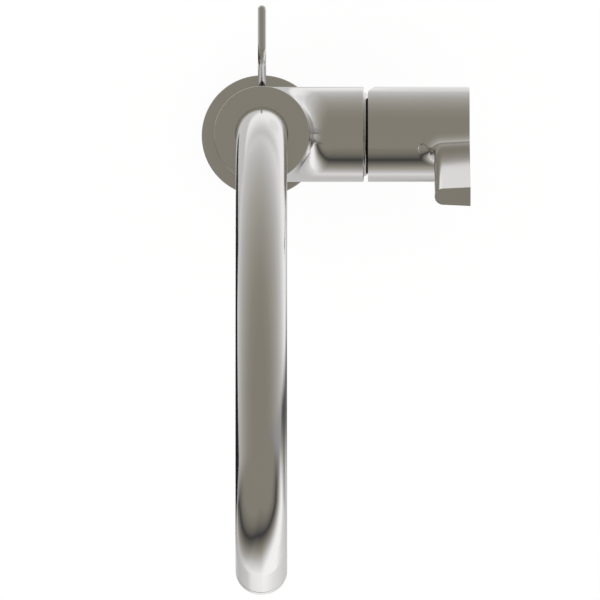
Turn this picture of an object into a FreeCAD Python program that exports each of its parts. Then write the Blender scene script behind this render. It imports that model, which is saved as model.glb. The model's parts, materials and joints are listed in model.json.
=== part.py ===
import FreeCAD, Part
import math
import os

V = FreeCAD.Vector

# All sizes are millimetres. The origin is the centre of the foot on the deck, +Z is up,
# the spout reaches to the front along -Y, and the handle is on the right along +X.

# Gaps between pieces
SEAT_GAP = 0.05  # round pieces that are fixed together
RUN_GAP = 0.3  # round pieces that turn or slide
SLIP_GAP = 0.15  # flat faces that slide on each other
PIN_GAP = 0.08  # pins and threads in their holes
EDGE_BEVEL = 0.35  # broken outer edges

# Spout
TUBE_OD = 22.0
TUBE_WALL = 1.5
SPOUT_REACH = 186.0  # from the body's axis to the middle of the tube's end
ARCH_SPRING_Z = 160.0  # where the upright tube starts to bend
REAR_BEND_R = 125.0  # wide bend up from the riser and over the top
FRONT_BEND_R = 34.0  # tight bend down to the outlet
OUTLET_DROP = 20.0  # straight tube after the front bend
OUTLET_LEAN = 21.5  # degrees that this tube leans forward of straight down

# Swivel joint of the spout
SLEEVE_WALL = 2.25
SLEEVE_LENGTH = 14.0
CHAMBER_Z = 98.0  # floor of the mixing chamber under the spout
CHAMBER_DEPTH = 12.5
TUBE_RING_GAP = 0.15  # fine dark line round the tube in the top ring
O_RING_WIRE = 1.4
O_RING_GROOVE = 1.9
BUSH_LENGTH = 2.4
STOP_GROOVE_DEPTH = 1.3
STOP_HALF_ANGLE = 82.0  # degrees each way from the rear
STOP_DOG_R = 1.5
STOP_SCREW_R = 2.0
WASHER_THICKNESS = 2.2
WASHER_LAND = 2.3  # how far the thrust washer stands out from the sleeve

# Outlet
AERATOR_RIM = 3.0
AERATOR_THREAD = 8.0
AERATOR_WALL = 1.45
AERATOR_LIP = 0.8
REGULATOR_THICKNESS = 2.0
AERATOR_SEAL_THICKNESS = 2.0
JET_R = 1.0
JET_EDGE = 0.55  # insert left outside its outer ring of holes

# Body
ARM_WALL = 4.0  # round the cartridge nut
ARM_STEP = 0.1  # arm and handle are this much slimmer than the column
BODY_WALL = 3.6  # round the hollow lower column
BODY_FILLET = 7.5  # rounded corner between column and arm, over and under the arm
BODY_FILLET_SIDE = 55.0  # the same corner at the arm's sides
ARM_AXIS_Z = 96.0
ARM_END_X = 44.0
TOP_RING_HEIGHT = 3.5
TOP_THREAD_LENGTH = 4.1
HOLLOW_TOP_Z = 70.0  # underside of the valve block
INLET_THREAD_R = 4.5
INLET_THREAD_LENGTH = 10.0
PASSAGE_R = 2.8
OUTLET_PASSAGE_R = 3.5

# Foot
FLANGE_LIP = 5.7  # how far the flange stands out from the column
FLANGE_TOP_Z = 5.0
SEAL_PROUD = 0.3  # seal under the flange, so its foot is the deck plane
SEAL_THICKNESS = 1.8
SEAL_WIDTH = 4.0
SEAL_EDGE = 1.3
SPIGOT_WALL = 2.0
SPIGOT_BOTTOM_Z = 1.0
INSERT_THICKNESS = 10.0
HOSE_SLOT_R = 5.2
HOSE_EDGE = 3.3  # insert left outside the hose slot

# Deck fixing
STUD_R = 4.0
STUD_EDGE = 0.8  # insert left outside the stud
STUD_WALL = 2.35  # insert left between stud and hose slot
STUD_BOTTOM_Z = -62.0
STUD_NOTCH_Z = -48.0  # lower edge of the notch where the stud's end can be snapped off
STUD_NOTCH_LENGTH = 2.0
STUD_NOTCH_DEPTH = 0.8
DECK_THICKNESS = 19.0
PAD_THICKNESS = 2.0
PLATE_THICKNESS = 3.0
PLATE_R = 24.0
PLATE_HOLE_GAP = 0.5
CLAMP_SLOT_HALF = 13.5
NUT_HEIGHT = 8.0
NUT_ACROSS_FLATS = 13.0

# Mixing cartridge, along the arm
CARTRIDGE_R = 14.0
SEAT_X = 16.0  # where the cartridge sits in the body
NUT_STEP = 2.35  # cartridge nut's radius over the cartridge's
CARTRIDGE_BASE_T = 4.0
PORT_SIDE = 5.5
PORT_DROP = 6.5
PORT_RISE = 8.0
PORT_SEAL_R = 4.6
PORT_SEAL_DEPTH = 1.2
CARTRIDGE_O_RING_WIRE = 1.1
CARTRIDGE_O_RING_GROOVE = 1.4
HOUSING_WALL = 1.0
DISC_T = 3.0
MOVING_DISC_R = 9.5
MIXING_POCKET_R = 6.0
MIXING_POCKET_DEPTH = 1.6
COUPLER_T = 3.0
COUPLER_R = 9.0
GUIDE_R = 10.0
GUIDE_FLANGE_R = 12.4
GUIDE_FLANGE_T = 1.7
GUIDE_NOSE = 5.5  # stem guide past the pivot pin
HOUSING_SHOULDER_T = 1.7
HOUSING_FLANGE_T = 2.0
NECK_WALL = 1.3
CARTRIDGE_NUT_T = 4.0
PIVOT_PIN_R = 1.5
STEM_SIDE = 7.0
STEM_BALL_R = 1.9
STEM_BALL_ARM = 6.8  # from the pivot pin in to the ball
STEM_NECK_R = 1.4
STEM_NECK_LENGTH = 3.4
STEM_SLOT_HALF = 6.8
DOME_EDGE_R = 18.3  # dome where it leaves the arm
DOME_LIP = 1.0
DOME_SPIGOT_WALL = 2.0

# Handle
LEVER_LEAN = 18.0  # degrees forward from upright
TILT_MAX = 20.0  # degrees of lever travel
GROOVE = 1.8  # between arm and handle
HANDLE_LENGTH = 43.8
HANDLE_WALL = 2.0
HANDLE_BORE_DEPTH = 26.2
HANDLE_END_WALL = 4.6
HANDLE_CAVITY_STEP = 3.5
RELIEF_RISE = 3.0  # where the tilt relief starts, on the lever's side of the axis
INSERT_LENGTH = 14.0
GRUB_R = 2.0
GRUB_LENGTH = 7.0
GRUB_DEPTH = 6.0  # from the insert's far end
PLUG_R = 2.5
PLUG_THICKNESS = 1.6
LEVER_WIDTH = 15.4
LEVER_TIP = 88.0  # from the handle's axis
LEVER_INNER_T = 7.35
LEVER_OUTER_T = 8.5
LEVER_FILLET = 8.0

# Lift rod
ROD_R = 1.8
ROD_SLANT = 18.0  # degrees back from upright
ROD_EDGE = 4.5  # from the column's bore in to the rod, half way up the insert
ROD_BEND_Y = 31.2
ROD_BEND_R = 7.7
ROD_TIP_Y = 56.1
ROD_BOTTOM_Z = -30.0
ROD_GUIDE_WALL = 1.2
ROD_CLAMP_R = 3.4
ROD_CLAMP_LENGTH = 12.0
LINK_HOLE_R = 1.6
LINK_HOLE_RISE = 3.0
CLAMP_SCREW_R = 1.25
CLAMP_SCREW_RISE = 8.0
CLAMP_SCREW_HEAD_R = 2.2
CLAMP_SCREW_HEAD = 2.0

# Radii that follow
TUBE_R = TUBE_OD / 2
TUBE_BORE_R = TUBE_R - TUBE_WALL
SLEEVE_R = TUBE_R + SEAT_GAP + SLEEVE_WALL
SOCKET_R = SLEEVE_R + RUN_GAP
WASHER_R = SLEEVE_R + WASHER_LAND
TOP_THREAD_R = WASHER_R + RUN_GAP
NUT_THREAD_R = CARTRIDGE_R + 2 * SEAT_GAP + NUT_STEP
ARM_R = NUT_THREAD_R + SEAT_GAP + ARM_WALL
BODY_R = ARM_R + ARM_STEP
BORE_R = BODY_R - BODY_WALL
SPIGOT_R = BORE_R + SPIGOT_WALL
FLANGE_R = BODY_R + FLANGE_LIP
SEAL_R = FLANGE_R - SEAL_EDGE
INSERT_R = BORE_R - SEAT_GAP
CHAMBER_R = CARTRIDGE_R - HOUSING_WALL
GUIDE_BORE_R = GUIDE_R + RUN_GAP
NECK_R = GUIDE_BORE_R + NECK_WALL
HANDLE_BORE_R = ARM_R - HANDLE_WALL
HANDLE_CAVITY_R = HANDLE_BORE_R - HANDLE_CAVITY_STEP

# Spout's two bends: the wide one runs a little past level, and the tight one takes over
BEND_STEP = REAR_BEND_R - FRONT_BEND_R
LEAN_SIN = math.sin(math.radians(OUTLET_LEAN))
LEAN_COS = math.cos(math.radians(OUTLET_LEAN))
PAST_REACH = SPOUT_REACH - REAR_BEND_R - FRONT_BEND_R * LEAN_COS - OUTLET_DROP * LEAN_SIN
PAST_LEVEL = math.asin(PAST_REACH / BEND_STEP)
REAR_BEND = V(0, -REAR_BEND_R, ARCH_SPRING_Z)
FRONT_BEND = REAR_BEND + V(0, -math.sin(PAST_LEVEL), math.cos(PAST_LEVEL)) * BEND_STEP

# Heights that follow
OUTLET_Z = FRONT_BEND.z + FRONT_BEND_R * LEAN_SIN - OUTLET_DROP * LEAN_COS
LEDGE_Z = CHAMBER_Z + CHAMBER_DEPTH
SLEEVE_BOTTOM_Z = LEDGE_Z + SLIP_GAP
SLEEVE_TOP_Z = SLEEVE_BOTTOM_Z + SLEEVE_LENGTH
WASHER_TOP_Z = SLEEVE_TOP_Z + WASHER_THICKNESS
TOP_THREAD_Z = WASHER_TOP_Z + SLIP_GAP
BODY_TOP_Z = TOP_THREAD_Z + TOP_THREAD_LENGTH
LOWER_RING_Z = SLEEVE_BOTTOM_Z + BUSH_LENGTH + O_RING_GROOVE
UPPER_RING_Z = LOWER_RING_Z + O_RING_GROOVE + SLEEVE_WALL / 2
STOP_GROOVE_HALF = STOP_DOG_R + RUN_GAP
STOP_Z = SLEEVE_TOP_Z - STOP_GROOVE_HALF - SLEEVE_WALL / 2
INSERT_TOP_Z = SPIGOT_BOTTOM_Z + INSERT_THICKNESS
PAD_TOP_Z = -DECK_THICKNESS
PLATE_TOP_Z = PAD_TOP_Z - PAD_THICKNESS
NUT_TOP_Z = PLATE_TOP_Z - PLATE_THICKNESS

# Places across the foot that follow
STUD_Y = -(INSERT_R - STUD_EDGE - STUD_R - SEAT_GAP)
HOSE_Y = STUD_Y + STUD_R + SEAT_GAP + STUD_WALL + HOSE_SLOT_R
HOSE_X = BORE_R - HOSE_EDGE - HOSE_SLOT_R
ROD_Y = BORE_R - ROD_EDGE
ROD_Z = SPIGOT_BOTTOM_Z + INSERT_THICKNESS / 2

# Stations along the arm that follow
FIXED_DISC_X = SEAT_X + CARTRIDGE_BASE_T
MOVING_DISC_X = FIXED_DISC_X + DISC_T
COUPLER_X = MOVING_DISC_X + DISC_T
GUIDE_X = COUPLER_X + COUPLER_T + RUN_GAP
SHOULDER_X = GUIDE_X + GUIDE_FLANGE_T + RUN_GAP
HOUSING_FLANGE_X = SHOULDER_X + HOUSING_SHOULDER_T
PIVOT_X = HOUSING_FLANGE_X + HOUSING_FLANGE_T
DOME_SPIGOT_X = PIVOT_X + CARTRIDGE_NUT_T
GUIDE_END_X = PIVOT_X + GUIDE_NOSE
BALL_X = PIVOT_X - STEM_BALL_ARM
HANDLE_X = ARM_END_X + GROOVE
HANDLE_END_X = HANDLE_X + HANDLE_LENGTH
INSERT_END_X = HANDLE_X + HANDLE_BORE_DEPTH
GRUB_X = INSERT_END_X - GRUB_DEPTH
LEVER_X = HANDLE_END_X - LEVER_WIDTH

# Dome: a ball round the pivot, open enough for the tilted stem
DOME_R = math.hypot(ARM_END_X - PIVOT_X, DOME_EDGE_R)
TILT = math.radians(TILT_MAX)
STEM_SWING = DOME_R * math.sin(TILT) + STEM_SIDE / 2 * math.cos(TILT)
DOME_HOLE_R = math.hypot(STEM_SWING, STEM_SIDE / 2) + RUN_GAP
DOME_END_X = PIVOT_X + math.sqrt(DOME_R**2 - (DOME_HOLE_R + DOME_LIP) ** 2)

# Direction and route of the lift rod
SLANT = math.radians(ROD_SLANT)
ROD_DIRECTION = V(0, math.sin(SLANT), math.cos(SLANT))
ROD_REAR = V(0, math.cos(SLANT), -math.sin(SLANT))


def rod_point(y):
    """Point on the slanted part of the lift rod's axis."""
    return V(0, y, ROD_Z + (y - ROD_Y) / math.tan(SLANT))


ROD_LOW = rod_point(ROD_Y + (ROD_BOTTOM_Z - ROD_Z) * math.tan(SLANT))
ROD_BEND = rod_point(ROD_BEND_Y)


def rod_z(radius, low, high, x=0.0, y=0.0):
    """Upright cylinder between two heights."""
    return Part.makeCylinder(radius, high - low, V(x, y, low))


def ring_z(outer, inner, low, high, x=0.0, y=0.0):
    """Upright ring between two heights."""
    return rod_z(outer, low, high, x, y).cut(rod_z(inner, low, high, x, y))


def rod_x(radius, low, high, y=0.0, rise=0.0):
    """Cylinder along the arm, placed from the arm's axis."""
    return Part.makeCylinder(radius, high - low, V(low, y, ARM_AXIS_Z + rise), V(1, 0, 0))


def ring_x(outer, inner, low, high, y=0.0, rise=0.0):
    """Ring along the arm."""
    return rod_x(outer, low, high, y, rise).cut(rod_x(inner, low, high, y, rise))


def rod_between(start, end, radius):
    """Cylinder from one point to another."""
    return Part.makeCylinder(radius, (end - start).Length, start, end - start)


def round_face(radius, centre, way):
    """Flat round face that a bend is turned from."""
    return Part.Face(Part.Wire(Part.makeCircle(radius, centre, way)))


def block(x, y, z):
    """Box from three pairs of limits."""
    return Part.makeBox(x[1] - x[0], y[1] - y[0], z[1] - z[0], V(x[0], y[0], z[0]))


def hoop_z(radius, wire, z, y=0.0):
    """O-ring lying flat, from the radius of its wire's centre."""
    return Part.makeTorus(radius, wire / 2, V(0, y, z))


def leaning(shape):
    """Turn a piece that was drawn with the lever upright to the lever's lean."""
    return shape.rotated(V(0, 0, ARM_AXIS_Z), V(1, 0, 0), LEVER_LEAN)


def outer_bevel(shape, axis, radius):
    """Break the round outer edges of one radius whose axis is the given one."""
    edges = [
        edge
        for edge in shape.Edges
        if edge.Curve.TypeId == "Part::GeomCircle"
        and abs(edge.Curve.Radius - radius) < SEAT_GAP / 2
        and abs(edge.Curve.Axis.dot(axis)) > 0.99
    ]
    return shape.makeChamfer(EDGE_BEVEL, edges)


# Spout
def leaned(shape):
    """Turn a piece drawn upright on the outlet forward about the middle of the tube's end."""
    return shape.rotated(V(0, -SPOUT_REACH, OUTLET_Z), V(1, 0, 0), -OUTLET_LEAN)


def swan_neck(radius):
    """Solid round bar along the whole spout: riser, wide bend, tight bend and drop."""
    riser = rod_z(radius, SLEEVE_BOTTOM_Z, ARCH_SPRING_Z)
    drop = leaned(rod_z(radius, OUTLET_Z, OUTLET_Z + OUTLET_DROP, y=-SPOUT_REACH))
    turn = math.degrees(PAST_LEVEL)
    foot = round_face(radius, V(0, 0, ARCH_SPRING_Z), V(0, 0, 1))
    meeting = FRONT_BEND + V(0, -math.sin(PAST_LEVEL), math.cos(PAST_LEVEL)) * FRONT_BEND_R
    middle = round_face(radius, meeting, V(0, -math.cos(PAST_LEVEL), -math.sin(PAST_LEVEL)))
    wide = foot.revolve(REAR_BEND, V(1, 0, 0), 90 + turn)
    tight = middle.revolve(FRONT_BEND, V(1, 0, 0), 90 - turn - OUTLET_LEAN)
    return riser.fuse([wide, tight, drop]).removeSplitter()


def spout_tube():
    return swan_neck(TUBE_R).cut(swan_neck(TUBE_BORE_R))


def spout_sleeve():
    """Sleeve brazed on the tube's foot, grooved for its bush, seals and stop."""
    sleeve = ring_z(SLEEVE_R, TUBE_R + SEAT_GAP, SLEEVE_BOTTOM_Z, SLEEVE_TOP_Z)
    floor_r = SLEEVE_R - STOP_GROOVE_DEPTH
    cuts = [ring_z(SLEEVE_R + SEAT_GAP, floor_r, SLEEVE_BOTTOM_Z, SLEEVE_BOTTOM_Z + BUSH_LENGTH)]
    for z in (LOWER_RING_Z, UPPER_RING_Z):
        cuts.append(ring_z(SLEEVE_R + SEAT_GAP, floor_r, z - O_RING_GROOVE / 2, z + O_RING_GROOVE / 2))
    low = V(0, 0, STOP_Z - STOP_GROOVE_HALF)
    sector = Part.makeCylinder(SLEEVE_R + SEAT_GAP, 2 * STOP_GROOVE_HALF, low, V(0, 0, 1), 2 * STOP_HALF_ANGLE)
    sector = sector.rotated(V(0, 0, 0), V(0, 0, 1), 90 - STOP_HALF_ANGLE)
    cuts.append(sector.cut(rod_z(floor_r, STOP_Z - STOP_GROOVE_HALF, STOP_Z + STOP_GROOVE_HALF)))
    return sleeve.cut(cuts)


def spout_guide_bush():
    inner = SLEEVE_R - STOP_GROOVE_DEPTH + SEAT_GAP
    return ring_z(SOCKET_R - SLIP_GAP, inner, SLEEVE_BOTTOM_Z, SLEEVE_BOTTOM_Z + BUSH_LENGTH - SEAT_GAP)


def spout_o_rings():
    centre_r = SLEEVE_R - STOP_GROOVE_DEPTH + SEAT_GAP + O_RING_WIRE / 2
    return Part.makeCompound([hoop_z(centre_r, O_RING_WIRE, z) for z in (LOWER_RING_Z, UPPER_RING_Z)])


def spout_thrust_washer():
    return ring_z(WASHER_R, TUBE_R + SEAT_GAP, SLEEVE_TOP_Z, WASHER_TOP_Z)


def spout_stop_screw():
    """Headless screw from the rear, with a plain point in the sleeve's groove."""
    tip_y = SLEEVE_R - STOP_GROOVE_DEPTH + RUN_GAP
    thread_y = SOCKET_R + RUN_GAP
    point = rod_between(V(0, tip_y, STOP_Z), V(0, thread_y, STOP_Z), STOP_DOG_R)
    thread = rod_between(V(0, thread_y, STOP_Z), V(0, BODY_R - EDGE_BEVEL, STOP_Z), STOP_SCREW_R)
    return point.fuse(thread)


# Outlet
AERATOR_R = TUBE_BORE_R - SEAT_GAP
AERATOR_BORE_R = AERATOR_R - AERATOR_WALL
AERATOR_BOTTOM_Z = OUTLET_Z - AERATOR_RIM
AERATOR_TOP_Z = OUTLET_Z + AERATOR_THREAD
REGULATOR_Z = AERATOR_TOP_Z - REGULATOR_THICKNESS
JET_RINGS = ((1, 6), (2, 12))  # each ring's place from the centre and its number of holes
JET_PITCH = (AERATOR_BORE_R - SEAT_GAP - JET_EDGE - JET_R) / len(JET_RINGS)


def aerator_housing():
    """Rim under the tube and the threaded wall inside it."""
    y = -SPOUT_REACH
    rim = rod_z(TUBE_R, AERATOR_BOTTOM_Z, OUTLET_Z, y=y)
    wall = rod_z(AERATOR_R, OUTLET_Z, AERATOR_TOP_Z, y=y)
    bore = rod_z(AERATOR_BORE_R, AERATOR_BOTTOM_Z + AERATOR_LIP, AERATOR_TOP_Z, y=y)
    mouth = rod_z(AERATOR_BORE_R - AERATOR_LIP, AERATOR_BOTTOM_Z, AERATOR_TOP_Z, y=y)
    return leaned(outer_bevel(rim.fuse(wall).cut([bore, mouth]), V(0, 0, 1), TUBE_R))


def jet_holes(low, high):
    """Centre hole and two rings of holes for the water."""
    places = [(0.0, 0.0)]
    for ring, count in JET_RINGS:
        for step in range(count):
            turn = 2 * math.pi * step / count
            places.append((ring * JET_PITCH * math.cos(turn), ring * JET_PITCH * math.sin(turn)))
    return [rod_z(JET_R, low, high, x, y - SPOUT_REACH) for x, y in places]


def aerator_insert():
    low = AERATOR_BOTTOM_Z + AERATOR_LIP
    disc = rod_z(AERATOR_BORE_R - SEAT_GAP, low, REGULATOR_Z, y=-SPOUT_REACH)
    return leaned(disc.cut(jet_holes(low, REGULATOR_Z)))


def flow_regulator():
    """Disc with one ring of six holes that limits the flow."""
    disc = rod_z(AERATOR_BORE_R - SEAT_GAP, REGULATOR_Z, AERATOR_TOP_Z, y=-SPOUT_REACH)
    return leaned(disc.cut(jet_holes(REGULATOR_Z, AERATOR_TOP_Z)[1:7]))


def aerator_seal():
    top = AERATOR_TOP_Z + AERATOR_SEAL_THICKNESS
    return leaned(ring_z(AERATOR_R, AERATOR_BORE_R - AERATOR_LIP, AERATOR_TOP_Z, top, y=-SPOUT_REACH))


# Body
PORTS = ((-PORT_SIDE, -PORT_DROP, PASSAGE_R), (PORT_SIDE, -PORT_DROP, PASSAGE_R), (0.0, PORT_RISE, OUTLET_PASSAGE_R))


def arm_blend():
    """Arm with its rounded corner to the column: a front upper quarter, mirrored to the rear and below."""
    upper = rod_z(BODY_R, ARM_AXIS_Z, BODY_TOP_Z).fuse(rod_x(ARM_R, 0, ARM_END_X)).removeSplitter()
    quarter = upper.common(block((0, ARM_END_X), (-BODY_R, 0), (ARM_AXIS_Z, BODY_TOP_Z)))
    corner = [edge for edge in quarter.Edges if not lies_flat(edge)]
    quarter = quarter.makeFillet(BODY_FILLET, BODY_FILLET_SIDE, corner).Solids[0]
    centre = V(0, 0, ARM_AXIS_Z)
    half = quarter.fuse(quarter.mirror(centre, V(0, 1, 0)))
    return half.fuse(half.mirror(centre, V(0, 0, 1))).removeSplitter()


def body_casting():
    """Column and side arm in one casting, with the waterways drilled in it."""
    casting = rod_z(BODY_R, FLANGE_TOP_Z, BODY_TOP_Z).fuse(arm_blend()).removeSplitter()
    casting = outer_bevel(casting.Solids[0], V(1, 0, 0), ARM_R)
    casting = casting.fuse(rod_z(SPIGOT_R, SPIGOT_BOTTOM_Z, FLANGE_TOP_Z))
    return casting.cut(column_bores() + arm_bores() + waterways() + body_holes())


def column_bores():
    shoulder_z = SLEEVE_TOP_Z - SLIP_GAP
    return [
        rod_z(BORE_R, SPIGOT_BOTTOM_Z, HOLLOW_TOP_Z),
        rod_z(TUBE_R, CHAMBER_Z, LEDGE_Z),
        rod_z(SOCKET_R, LEDGE_Z, shoulder_z),
        rod_z(TOP_THREAD_R + SEAT_GAP, shoulder_z, BODY_TOP_Z),
    ]


def arm_bores():
    return [
        rod_x(CARTRIDGE_R + 2 * SEAT_GAP, SEAT_X, ARM_END_X),
        rod_x(NUT_THREAD_R + SEAT_GAP, HOUSING_FLANGE_X, ARM_END_X),
    ]


def waterways():
    """Hot and cold from their inlets to the cartridge, and mixed water to the spout."""
    top_z = HOLLOW_TOP_Z + INLET_THREAD_LENGTH
    cuts = [rod_x(OUTLET_PASSAGE_R, 0, SEAT_X, rise=PORT_RISE)]
    for side, port_y in ((1, -PORT_SIDE), (-1, PORT_SIDE)):
        inlet = V(side * HOSE_X, HOSE_Y, top_z - PASSAGE_R)
        port = V(SEAT_X, port_y, ARM_AXIS_Z - PORT_DROP)
        reach = (port - inlet).normalize() * SEAT_GAP
        cuts.append(rod_z(INLET_THREAD_R, HOLLOW_TOP_Z, top_z, inlet.x, inlet.y))
        cuts.append(rod_between(inlet, port + reach, PASSAGE_R))
    return cuts


def body_holes():
    """Holes for the stop screw and the lift rod's guide, both at the rear."""
    screw_start = V(0, SOCKET_R - RUN_GAP, STOP_Z)
    screw = rod_between(screw_start, V(0, BODY_R + 1, STOP_Z), STOP_SCREW_R + SEAT_GAP)
    return [screw, guide_bar(ROD_GUIDE_R + SEAT_GAP)]


def top_ring():
    disc = rod_z(BODY_R, BODY_TOP_Z, BODY_TOP_Z + TOP_RING_HEIGHT)
    disc = outer_bevel(disc, V(0, 0, 1), BODY_R)
    thread = rod_z(TOP_THREAD_R, TOP_THREAD_Z, BODY_TOP_Z)
    hole = rod_z(TUBE_R + TUBE_RING_GAP, TOP_THREAD_Z, BODY_TOP_Z + TOP_RING_HEIGHT)
    return disc.fuse(thread).cut(hole)


# Foot and deck fixing
def base_flange():
    ring = ring_z(FLANGE_R, SPIGOT_R + SEAT_GAP, SEAL_PROUD, FLANGE_TOP_Z)
    ring = outer_bevel(ring, V(0, 0, 1), FLANGE_R)
    recess = ring_z(SEAL_R + SEAT_GAP, SEAL_R - SEAL_WIDTH - SEAT_GAP, 0, SEAL_THICKNESS)
    return ring.cut(recess)


def base_seal():
    return ring_z(SEAL_R, SEAL_R - SEAL_WIDTH, 0, SEAL_THICKNESS)


def base_insert():
    """Disc screwed into the column's foot: it carries the stud and lets hoses and rod through."""
    low = SPIGOT_BOTTOM_Z
    cuts = [rod_z(STUD_R + SEAT_GAP, low, INSERT_TOP_Z, y=STUD_Y)]
    for x in (-HOSE_X, HOSE_X):
        cuts.append(rod_z(HOSE_SLOT_R, low, INSERT_TOP_Z, x, HOSE_Y))
    slot_y = (HOSE_Y - HOSE_SLOT_R, HOSE_Y + HOSE_SLOT_R)
    cuts.append(block((-HOSE_X, HOSE_X), slot_y, (low, INSERT_TOP_Z)))
    cuts.append(guide_bar(ROD_R + 2 * RUN_GAP))
    return rod_z(INSERT_R, low, INSERT_TOP_Z).cut(cuts)


def fixing_stud():
    stud = rod_z(STUD_R, STUD_BOTTOM_Z, INSERT_TOP_Z, y=STUD_Y)
    notch_top = STUD_NOTCH_Z + STUD_NOTCH_LENGTH
    return stud.cut(ring_z(STUD_R + SEAT_GAP, STUD_R - STUD_NOTCH_DEPTH, STUD_NOTCH_Z, notch_top, y=STUD_Y))


def horseshoe(low, high):
    """Clamp outline: a round plate with a stud hole, open at the rear for hoses and rod."""
    hole = rod_z(STUD_R + PLATE_HOLE_GAP, low, high, y=STUD_Y)
    slot_y = (HOSE_Y - HOSE_SLOT_R, PLATE_R)
    slot = block((-CLAMP_SLOT_HALF, CLAMP_SLOT_HALF), slot_y, (low, high))
    return rod_z(PLATE_R, low, high).cut([hole, slot])


def clamp_pad():
    return horseshoe(PLATE_TOP_Z, PAD_TOP_Z)


def clamp_plate():
    return horseshoe(NUT_TOP_Z, PLATE_TOP_Z)


def clamp_nut():
    low = NUT_TOP_Z - NUT_HEIGHT
    corner_r = NUT_ACROSS_FLATS / math.sqrt(3)
    turns = [math.radians(60 * k) for k in range(7)]
    corners = [V(corner_r * math.cos(t), STUD_Y + corner_r * math.sin(t), low) for t in turns]
    hexagon = Part.Face(Part.makePolygon(corners)).extrude(V(0, 0, NUT_HEIGHT))
    return hexagon.cut(rod_z(STUD_R + PIN_GAP, low, NUT_TOP_Z, y=STUD_Y))


# Mixing cartridge
def cartridge_base():
    disc = rod_x(CARTRIDGE_R, SEAT_X, FIXED_DISC_X)
    groove_x = FIXED_DISC_X - CARTRIDGE_O_RING_GROOVE - SLEEVE_WALL / 4
    floor_r = CARTRIDGE_R - CARTRIDGE_O_RING_WIRE
    cuts = [ring_x(CARTRIDGE_R + SEAT_GAP, floor_r, groove_x, groove_x + CARTRIDGE_O_RING_GROOVE)]
    for y, rise, radius in PORTS:
        cuts.append(rod_x(radius, SEAT_X, FIXED_DISC_X, y, rise))
        cuts.append(rod_x(PORT_SEAL_R + SEAT_GAP, SEAT_X, SEAT_X + PORT_SEAL_DEPTH, y, rise))
    return disc.cut(cuts)


def port_seals():
    seals = [
        ring_x(PORT_SEAL_R, OUTLET_PASSAGE_R, SEAT_X, SEAT_X + PORT_SEAL_DEPTH, y, rise)
        for y, rise, radius in PORTS
    ]
    return Part.makeCompound(seals)


def cartridge_o_ring():
    groove_x = FIXED_DISC_X - CARTRIDGE_O_RING_GROOVE - SLEEVE_WALL / 4
    centre_x = groove_x + CARTRIDGE_O_RING_GROOVE / 2
    centre_r = CARTRIDGE_R + SEAT_GAP - CARTRIDGE_O_RING_WIRE / 2
    return Part.makeTorus(centre_r, CARTRIDGE_O_RING_WIRE / 2, V(centre_x, 0, ARM_AXIS_Z), V(1, 0, 0))


def fixed_disc():
    disc = rod_x(CHAMBER_R - SEAT_GAP, FIXED_DISC_X, MOVING_DISC_X)
    return disc.cut([rod_x(radius, FIXED_DISC_X, MOVING_DISC_X, y, rise) for y, rise, radius in PORTS])


def cartridge_housing():
    neck_end = GUIDE_END_X + RUN_GAP
    parts = [
        rod_x(NUT_THREAD_R - RUN_GAP, HOUSING_FLANGE_X, PIVOT_X),
        rod_x(NECK_R, PIVOT_X, neck_end),
    ]
    bores = [
        rod_x(CHAMBER_R, FIXED_DISC_X, SHOULDER_X),
        rod_x(GUIDE_BORE_R, SHOULDER_X, neck_end),
    ]
    return rod_x(CARTRIDGE_R, FIXED_DISC_X, HOUSING_FLANGE_X).fuse(parts).cut(bores)


def cartridge_nut():
    return ring_x(NUT_THREAD_R, NECK_R + SEAT_GAP, PIVOT_X, DOME_SPIGOT_X)


def dome_ring():
    """Polished part-ball that screws into the arm and hides the cartridge."""
    ball = Part.makeSphere(DOME_R, V(PIVOT_X, 0, ARM_AXIS_Z))
    dome = ball.common(rod_x(DOME_R, ARM_END_X, DOME_END_X))
    spigot = rod_x(NUT_THREAD_R, DOME_SPIGOT_X, ARM_END_X)
    mouth_r = NUT_THREAD_R - DOME_SPIGOT_WALL
    taper = Part.makeCone(
        mouth_r, DOME_HOLE_R, DOME_END_X - ARM_END_X, V(ARM_END_X, 0, ARM_AXIS_Z), V(1, 0, 0)
    )
    return dome.fuse(spigot).cut([taper, rod_x(mouth_r, DOME_SPIGOT_X, ARM_END_X)])


def moving_disc():
    disc = rod_x(MOVING_DISC_R, MOVING_DISC_X + SLIP_GAP, COUPLER_X)
    pocket_end = MOVING_DISC_X + SLIP_GAP + MIXING_POCKET_DEPTH
    return leaning(disc.cut(rod_x(MIXING_POCKET_R, MOVING_DISC_X + SLIP_GAP, pocket_end)))


def disc_coupler():
    """Carrier on the moving disc with a round socket for the stem's ball."""
    return leaning(ring_x(COUPLER_R, STEM_BALL_R + RUN_GAP, COUPLER_X, COUPLER_X + COUPLER_T))


def stem_guide():
    """Turning guide that holds the pivot pin and lets the stem tilt in its slot."""
    guide = rod_x(GUIDE_R, GUIDE_X, GUIDE_END_X).fuse(rod_x(GUIDE_FLANGE_R, GUIDE_X, GUIDE_X + GUIDE_FLANGE_T))
    half = STEM_SIDE / 2 + RUN_GAP
    rise = (ARM_AXIS_Z - STEM_SLOT_HALF, ARM_AXIS_Z + STEM_SLOT_HALF)
    slot = block((GUIDE_X, GUIDE_END_X), (-half, half), rise)
    return leaning(guide.cut([slot, pivot_bar(PIVOT_PIN_R + SEAT_GAP, GUIDE_R)]))


def pivot_bar(radius, half_length):
    """Bar across the cartridge on the pivot's axis, drawn with the lever upright."""
    ends = [V(PIVOT_X, y, ARM_AXIS_Z) for y in (-half_length, half_length)]
    return rod_between(ends[0], ends[1], radius)


def pivot_pin():
    return leaning(pivot_bar(PIVOT_PIN_R, GUIDE_R - RUN_GAP))


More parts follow.
